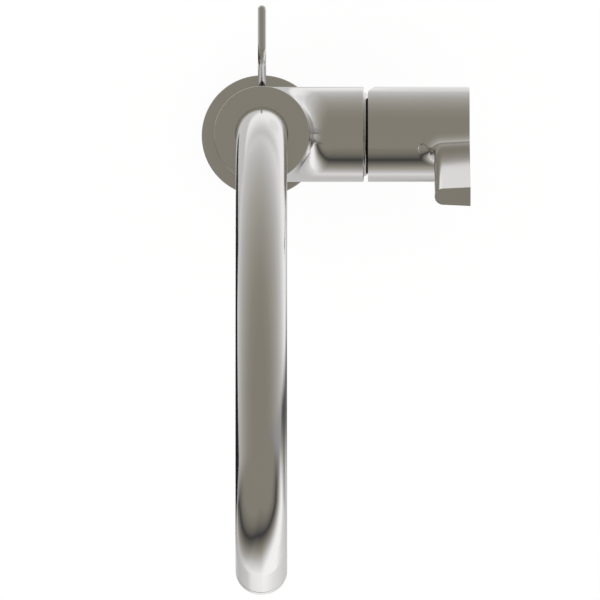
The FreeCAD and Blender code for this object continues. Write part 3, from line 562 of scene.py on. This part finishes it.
def thread_depth(height, turn):
    """Depth of the thread at a height and an angle: a wedge-shaped groove that climbs one pitch a turn."""
    climb = np.mod(height / PITCH - turn / (2 * np.pi), 1.0)
    return GROOVE * np.clip(WEDGE_TOP - WEDGE_SLOPE * np.abs(climb - 0.5), 0, 1)


def round_stud(radius, height):
    """Points round the stud's axis: one row for each height, with a radius for each angle."""
    turn = np.linspace(0, 2 * np.pi, radius.shape[1], endpoint=False)
    x, y = stud_axis[0] + radius * np.cos(turn), stud_axis[1] + radius * np.sin(turn)
    return np.stack([x, y, height + 0 * turn], -1)


print("stud radius", round(STUD_R, 3))

# %% The stud
height = np.linspace(stud_low[2], stud_high[2], 520)[:, None]
turn = np.linspace(0, 2 * np.pi, 48, endpoint=False)
from_end = np.minimum(height - stud_low[2], stud_high[2] - height)
chamfer = END_CHAMFER * np.clip(1.0 - from_end, 0, 1)
notch = NOTCH_DEPTH * ((height > NOTCH_LOW) & (height < NOTCH_HIGH))
radius = STUD_R - np.maximum(np.maximum(thread_depth(height, turn), chamfer), notch)
radius = np.vstack([0 * turn, radius, 0 * turn])
height = np.vstack([height[:1], height, height[-1:]])
stand_in("fixing_stud", round_stud(radius, height), loop_rows=False)


# %% [markdown]
# ## The nut
# A hexagon nut on the stud pulls the clamp up. A chamfering tool has cut its corners
# to a cone. A boolean of a prism and a cone could give that. On a grid it is simply
# the smaller of the two radii at each point.

# %% The nut
def hexagon(sides, start=0.0):
    """Radius of a hexagon whose flats are 1 from the middle: 1 over the cosine of the angle from a flat."""
    turn = np.linspace(0, 2 * np.pi, sides, endpoint=False) + start
    return 1 / np.cos(np.mod(turn, np.pi / 3) - np.pi / 6)


NUT_PLAY, NUT_FACE, NUT_SIDES = 0.15, 0.97, 144
nut_low, nut_high = box_mm("clamp_nut")
flat = (nut_high[1] - nut_low[1]) / 2
height = np.linspace(nut_low[2], nut_high[2], 41)[:, None]
cone = flat * NUT_FACE + np.sqrt(3) * np.minimum(height - nut_low[2], nut_high[2] - height)
outer = np.minimum(flat * hexagon(NUT_SIDES), cone)
inner = np.full((2, NUT_SIDES), STUD_R + NUT_PLAY)
height = np.vstack([height, nut_high[2:, None], nut_low[2:, None]])
stand_in("clamp_nut", round_stud(np.vstack([outer, inner]), height))


# %% [markdown]
# ## The screw that stops the spout
# A small screw at the back of the column limits how far the spout turns. Only its end
# shows, with a hexagon socket. A boolean could cut the socket. Here the hexagon
# scales the radius of the last rows, so the round outline drops into it without a
# seam.

# %% The screw that stops the spout
STOP_POINT, STOP_DOG = 1.5, 1.6
SOCKET_R, SOCKET_DEPTH, SOCKET_EDGE, SOCKET_MOUTH = 1.0, 2.0, 0.1, 1.2
SCREW_SIDES = 72
stop_low, stop_high = box_mm("spout_stop_screw")
stop_r, stop_end = stop_high[0], stop_high[1]
stop_centre = (0, 0, (stop_low[2] + stop_high[2]) / 2)
stop_step = stop_low[1] + STOP_DOG


def socketed(outline):
    """A grid for a turned outline whose last corner drops into a hexagon socket with a flat floor."""
    tip, floor_at = (0.0, outline[0][1]), stop_end - SOCKET_DEPTH
    edge = rounded([*outline, (0.0, stop_end, 0.0), (*tip, 0.0)])[: (CURVE_POINTS + 2) * len(outline)]
    mouth = [(SOCKET_MOUTH, stop_end), (SOCKET_R, stop_end - SOCKET_EDGE)]
    shell = np.vstack([[tip], edge, mouth, [(SOCKET_R, floor_at), (0.0, floor_at)]])
    form = np.ones((len(shell), SCREW_SIDES))
    form[-3:] = hexagon(SCREW_SIDES, np.pi / 6)
    return turned(shell, stop_centre, (0, 1, 0), SCREW_SIDES, form)


stand_in("spout_stop_screw", socketed([
    (STOP_POINT, stop_low[1], 0.3), (STOP_POINT, stop_step, 0.05),
    (stop_r, stop_step, 0.2), (stop_r, stop_end, 0.3)]), loop_rows=False)

# %% [markdown]
# ## The studio
# Polished metal shows its surroundings, so the room matters as much as the
# finish. The real tap looks as if it stood under a grey ceiling, with white below
# and in front of it and a dark edge between them. Cards and lamps could be set up
# one by one, but the metal only asks how bright each direction is. So the world
# paints the room by direction: a white card with tilted edges in front, a softer
# change behind. The camera itself sees plain white.

# %% Values put together in a shader tree
def feed(tree, value, socket):
    """An input takes another node's output, or a plain value."""
    if isinstance(value, bpy.types.NodeSocket):
        tree.links.new(value, socket)
    else:
        socket.default_value = value


def worked(tree, kind, *values):
    """The output of a math node of that kind for the values."""
    node = add(tree, "ShaderNodeMath", operation=kind)
    for value, socket in zip(values, node.inputs):
        feed(tree, value, socket)
    return node.outputs["Value"]


def stepped(tree, value, low, high, start=0.0, end=1.0, bend="LINEAR"):
    """A value that goes from start to end while the given one goes from low to high, and stays there."""
    spans = {"From Min": low, "From Max": high, "To Min": start, "To Max": end}
    node = add(tree, "ShaderNodeMapRange", spans, interpolation_type=bend)
    feed(tree, value, node.inputs["Value"])
    return node.outputs["Result"]


def measured(tree, kind, place, vector):
    """The dot product or the distance of a place and a fixed vector."""
    node = add(tree, "ShaderNodeVectorMath", {1: vector}, operation=kind)
    feed(tree, place, node.inputs[0])
    return node.outputs["Value"]


# %% The world and its directions
world = bpy.data.worlds.new("studio")
bpy.context.scene.world = world
world.use_nodes = True
sky = world.node_tree
sky.nodes.clear()
look = add(sky, "ShaderNodeTexCoord").outputs["Generated"]
turns = add(sky, "ShaderNodeSeparateXYZ")
feed(sky, look, turns.inputs["Vector"])
look_y, look_z = turns.outputs["Y"], turns.outputs["Z"]
to_right = stepped(sky, turns.outputs["X"], 0.0, 1.0)
print("world", world.name)

# %% Tones of the room
CEILING_TINT = (1.06, 0.995, 0.83)
TINTED_BELOW, TINT_FADE = 0.6, 0.35
TINTED_ABOVE, TINT_RISE = 0.04, 0.14


def room_ramp(value, levels):
    """The room's colour at a value from -1 to 1, from (value, level) stops: only the greys are warm."""
    stops = []
    for place, level in levels:
        under_white = np.clip((TINTED_BELOW - level) / TINT_FADE, 0, 1)
        over_black = np.clip((level - TINTED_ABOVE) / TINT_RISE, 0, 1)
        tint = 1 + under_white * over_black * (np.array(CEILING_TINT) - 1)
        stops.append(((place + 1) / 2, tuple(level * tint)))
    ramp = ramp_of(sky, stops)
    feed(sky, stepped(sky, value, -1.0, 1.0), ramp.inputs["Fac"])
    return ramp.outputs["Color"]


def mixed(first, second, share, blend="MIX"):
    """Two colours of the room mixed: a share of 1 is all of the second.

    Inputs 6 and 7 and output 2 are the mix node's colours; the others are for numbers and vectors."""
    node = add(sky, "ShaderNodeMix", data_type="RGBA", blend_type=blend)
    for value, socket in ((share, node.inputs["Factor"]), (first, node.inputs[6]), (second, node.inputs[7])):
        feed(sky, value, socket)
    return node.outputs[2]


# %% The white card in front
LEFT_EDGE, TOP_EDGE, SIDE_EDGE = (0.636, -0.61, -1.02), (0.16, -0.417, -0.894), (0.5, -5.0, -0.3)
LEFT_SHIFT, TOP_SHIFT, SIDE_SHIFT = 0.01, 0.0, -0.4
RIGHT_GAIN = 1.3
LOW_RIGHT, LOW_SPAN = 0.68, (-0.45, -0.3)
FRONT_ROOM = [(-0.89, 0.26), (-0.57, 0.26), (-0.28, 0.19), (-0.09, 0.11), (0.02, 0.04), (0.08, 0.09),
              (0.19, 0.15), (0.40, 0.316), (0.55, 0.48), (0.61, 0.585), (0.79, 0.84), (0.9, 1.0), (1.0, 1.1)]


def inside(edge, shift):
    """How far a direction is inside one edge of the card: its dot product with the edge, plus a shift."""
    return worked(sky, "ADD", measured(sky, "DOT_PRODUCT", look, edge), shift)


upper = worked(sky, "MINIMUM", inside(LEFT_EDGE, LEFT_SHIFT), inside(TOP_EDGE, TOP_SHIFT))
steeper = worked(sky, "MULTIPLY", worked(sky, "MULTIPLY_ADD", to_right, RIGHT_GAIN, 1.0), upper)
in_front = inside(SIDE_EDGE, SIDE_SHIFT)
card = worked(sky, "MINIMUM", steeper, in_front)
low_right = stepped(sky, worked(sky, "MULTIPLY", to_right, look_z), *LOW_SPAN, LOW_RIGHT, 1.0)
front_room = add(sky, "ShaderNodeVectorMath", operation="SCALE")
feed(sky, room_ramp(card, FRONT_ROOM), front_room.inputs[0])
feed(sky, low_right, front_room.inputs["Scale"])
print("tones in front", len(FRONT_ROOM))

# %% [markdown]
# ## Beside and behind the tap
# At the right the steel shows a grey wall, and behind the tap the room only fades
# from white below to grey above. More lamps could give that, but a lamp leaves a
# bright spot on steel. Two more painted parts of the room leave none.

# %% The wall at the right and the room behind
SIDE_WALL, WALL_SPAN, WALL_FOOT = 0.36, (-0.3, -0.08), (-0.35, -0.15)
REAR_TILT, REAR_SPAN = -0.33, (-0.35, 0.0)
REAR_ROOM = [(-0.9, 1.05), (-0.77, 0.83), (-0.5, 0.60), (-0.17, 0.45), (0.17, 0.357), (0.5, 0.287),
             (0.8, 0.256)]

wall_level = stepped(sky, look_y, *WALL_SPAN, 0.0, SIDE_WALL)
standing = worked(sky, "MULTIPLY", wall_level, stepped(sky, look_z, *WALL_FOOT))
right_wall = worked(sky, "MULTIPLY", standing, to_right)
walled = mixed(front_room.outputs["Vector"], right_wall, 1.0, "LIGHTEN")
rear_room = room_ramp(worked(sky, "MULTIPLY_ADD", to_right, REAR_TILT, look_z), REAR_ROOM)
room = mixed(walled, rear_room, stepped(sky, in_front, *REAR_SPAN, 1.0, 0.0))
print("tones behind", len(REAR_ROOM))

# %% Plain white for the camera
seen_direct = add(sky, "ShaderNodeLightPath").outputs["Is Camera Ray"]
light = add(sky, "ShaderNodeBackground")
feed(sky, mixed(room, (1.0, 1.0, 1.0, 1.0), seen_direct), light.inputs["Color"])
join(sky, light, "Background", add(sky, "ShaderNodeOutputWorld"), "Surface")
print("nodes in the world", len(sky.nodes))

# %% [markdown]
# ## The floor
# The tap hangs through a deck that isn't there, so the floor lies just under
# the end of its fixing stud. It is a pale disc: the camera sees it white, and
# part of it is a matt surface that keeps a soft shadow. A studio floor is never
# lit evenly, and the steel shows that. Several lamps could do it; here that light
# and shade is painted into the tone that the steel sees, which changes by place.

# %% A pale round floor
FLOOR_R = 0.45
FLOOR_GAP = 0.4 * MM
FRAME_X, FRAME_Y = 16.47 * MM, -71.5 * MM

floor_z = cad_low.z - FLOOR_GAP
rings = np.linspace(0, FLOOR_R, 5)[:, None] * [1, 0]
floor = grid_object("floor", turned(rings, (FRAME_X, FRAME_Y, floor_z), sides=96))
print("floor at", round(floor_z, 4))

# %% Painted light and shade on the floor
REAR_SLANT, REAR_STEP = (1.0, 2.0, 0.0), (0.15, 0.21, 0.45, 0.95)
BEYOND_STEP, AHEAD_STEP = (0.1, 0.3, 1.0, 0.58), (-0.42, -0.16, 0.84, 0.58)

cloth, tree, shader = blank("floor_cloth")
where = add(tree, "ShaderNodeTexCoord").outputs["Object"]
spot = add(tree, "ShaderNodeSeparateXYZ")
feed(tree, where, spot.inputs["Vector"])
floor_x, floor_y = spot.outputs["X"], spot.outputs["Y"]


def soft(value, step):
    """A soft step of the floor's tone: (from, to, tone before, tone after)."""
    return stepped(tree, value, *step, "SMOOTHSTEP")


# painted light and shade: how brightly each place of the floor seems lit, as the metal sees it
rear = soft(measured(tree, "DOT_PRODUCT", where, REAR_SLANT), REAR_STEP)
behind = worked(tree, "MINIMUM", rear, soft(floor_y, BEYOND_STEP))
tone = worked(tree, "MAXIMUM", behind, soft(floor_y, AHEAD_STEP))
print("tones of the floor behind the tap", REAR_STEP[2:])

# %% [markdown]
# ## Painted shade on the floor
# In the steel some places of the floor look darker than the rest, as if they lay
# in shade. Lamps and flags could cast that shade. Here it is painted: the floor's
# tone is multiplied by a stripe and by two ovals, all with soft edges.

# %% A painted dark stripe and two faint painted shades
STRIPE_Y, STRIPE_STEP, RIGHT_STEP = -0.105, (0.01, 0.06, 1.0, 0.0), (0.03, 0.14, 0.0, 0.85)
SHADE_EDGE = (0.7, 1.15)
# each shade: its middle, its half width and half depth, and how much of the tone it leaves
SHADES = [(-0.2, -0.3, 0.16, 0.14, 0.76), (0.082, 0.135, 0.035, 0.045, 0.88)]

# painted shade: a darker stripe across the floor at the right, seen only in the metal
aside = worked(tree, "ABSOLUTE", worked(tree, "SUBTRACT", floor_y, STRIPE_Y))
painted_shade_stripe = worked(tree, "MULTIPLY", soft(floor_x, RIGHT_STEP), soft(aside, STRIPE_STEP))
tone = worked(tree, "MULTIPLY", tone, worked(tree, "SUBTRACT", 1.0, painted_shade_stripe))
for x, y, half_x, half_y, dark in SHADES:
    oval = add(tree, "ShaderNodeVectorMath", {1: (1 / half_x, 1 / half_y, 0.0)}, operation="MULTIPLY")
    feed(tree, where, oval.inputs[0])
    reach = measured(tree, "DISTANCE", oval.outputs["Vector"], (x / half_x, y / half_y, 0.0))
    tone = worked(tree, "MULTIPLY", tone, soft(reach, (*SHADE_EDGE, dark, 1.0)))
print("shades on the floor", len(SHADES))

# %% [markdown]
# ## The floor's cloth
# A real cloth needs strong lamps to look pure white, and they would be too much for
# the steel. So to the camera the floor glows white and to the metal in its painted
# tones of light and shade, and for all other light it is matt cloth. A little of the
# cloth always stays, which keeps the shadow. For the metal the rim fades out, so no edge shows in it.

# %% The floor's cloth
CLOTH_WHITE, CLOTH_ROUGH = (0.93, 0.93, 0.93, 1.0), 0.9
GLOW_SHARE = 0.94
FLOOR_FADE = (0.33, 0.44)


def either(share, first, second):
    """Two shaders mixed: a share of 1 is all of the second."""
    node = add(tree, "ShaderNodeMixShader")
    for value, socket in zip((share, first, second), node.inputs):
        feed(tree, value, socket)
    return node.outputs["Shader"]


shader.inputs["Base Color"].default_value = CLOTH_WHITE
shader.inputs["Roughness"].default_value = CLOTH_ROUGH
rays = add(tree, "ShaderNodeLightPath").outputs
glow = add(tree, "ShaderNodeEmission")
# the glow shows the metal the floor's painted light and shade; the camera sees plain white
feed(tree, worked(tree, "MAXIMUM", tone, rays["Is Camera Ray"]), glow.inputs["Color"])
seen = worked(tree, "MAXIMUM", rays["Is Camera Ray"], rays["Is Glossy Ray"])
seen = worked(tree, "MAXIMUM", seen, rays["Is Transmission Ray"])
lit = either(worked(tree, "MULTIPLY", seen, GLOW_SHARE), shader.outputs["BSDF"], glow.outputs["Emission"])
apart = measured(tree, "DISTANCE", where, (FRAME_X, FRAME_Y, floor_z))
rim = worked(tree, "MULTIPLY", soft(apart, (*FLOOR_FADE, 0.0, 1.0)), rays["Is Glossy Ray"])
faded = either(rim, lit, add(tree, "ShaderNodeBsdfTransparent").outputs["BSDF"])
feed(tree, faded, tree.nodes["Material Output"].inputs["Surface"])
floor.data.materials.append(cloth)
print("cloth nodes", len(tree.nodes))

# %% [markdown]
# ## The dark card
# Along its left edge the real tube shows a thin black line, as if something dark
# lay low on that side. It could be painted on the world too, but then the line would
# be equally wide all along. A near card grows wider to the front, and so does its
# line. Only the metal sees it.

# %% A dark card at the left
CARD_LEFT, CARD_RIGHT = -0.30, -0.075
CARD_FRONT, CARD_BACK = -0.19, 0.04
CARD_FLARE, FLARE_Y = 10.0, -0.03
CARD_Z = cad_low.z + 5 * MM
FELT_BLACK, FELT_ROUGH = (0.01, 0.01, 0.01, 1.0), 0.9

card_x, card_y = np.meshgrid(np.linspace(CARD_LEFT, CARD_RIGHT, 5), np.linspace(CARD_FRONT, CARD_BACK, 24))
wider = 1 + CARD_FLARE * np.clip(FLARE_Y - card_y, 0, None)
card_x = CARD_RIGHT + (card_x - CARD_RIGHT) * wider
dark_card = grid_object("dark_card", np.stack([card_x, card_y, 0 * card_x + CARD_Z], -1), loop_cols=False)
for sight in ("visible_camera", "visible_diffuse", "visible_shadow"):
    setattr(dark_card, sight, False)
felt, _, shader = blank("black_felt")
shader.inputs["Base Color"].default_value = FELT_BLACK
shader.inputs["Roughness"].default_value = FELT_ROUGH
dark_card.data.materials.append(felt)
print("card at", round(CARD_Z, 4))

# %% [markdown]
# ## The lamp
# The painted room lights the tap from all sides, which leaves almost no shadow.
# A wide round lamp overhead adds a soft one. The metal doesn't see the lamp, so it
# leaves no bright spot on the steel.

# %% A soft lamp overhead
LAMP_SIZE, LAMP_POWER, LAMP_Z = 1.2, 30.0, 1.6
lamp_data = bpy.data.lights.new("soft_lamp", "AREA")
lamp_data.shape = "DISK"
lamp_data.size = LAMP_SIZE
lamp_data.energy = LAMP_POWER
lamp = bpy.data.objects.new("soft_lamp", lamp_data)
lamp.location = (FRAME_X, FRAME_Y, LAMP_Z)
lamp.visible_glossy = False
lamp.visible_camera = False
bpy.context.scene.collection.objects.link(lamp)
print("lamp", LAMP_POWER, "W")

# %% [markdown]
# ## The camera
# The picture looks straight down with no perspective to speak of. A camera without
# perspective could do that, but the side views move a plain camera round the tap,
# so it stands far above with a very long lens instead.

# %% Camera
SENSOR, LENS = 36.0, 1650.0
FRAME_WIDTH = 257.64 * MM
EYE_LEVEL = 160.0 * MM
eye = bpy.data.cameras.new("camera")
eye.sensor_width, eye.lens = SENSOR, LENS
camera = bpy.data.objects.new("camera", eye)
away = FRAME_WIDTH * LENS / SENSOR
camera.location = (FRAME_X, FRAME_Y, EYE_LEVEL + away)
eye.clip_start, eye.clip_end = 0.1, away * 3
bpy.context.scene.collection.objects.link(camera)
bpy.context.scene.camera = camera
bpy.context.scene.view_settings.view_transform = "Standard"
print("camera is", round(away, 2), "m above the tap")
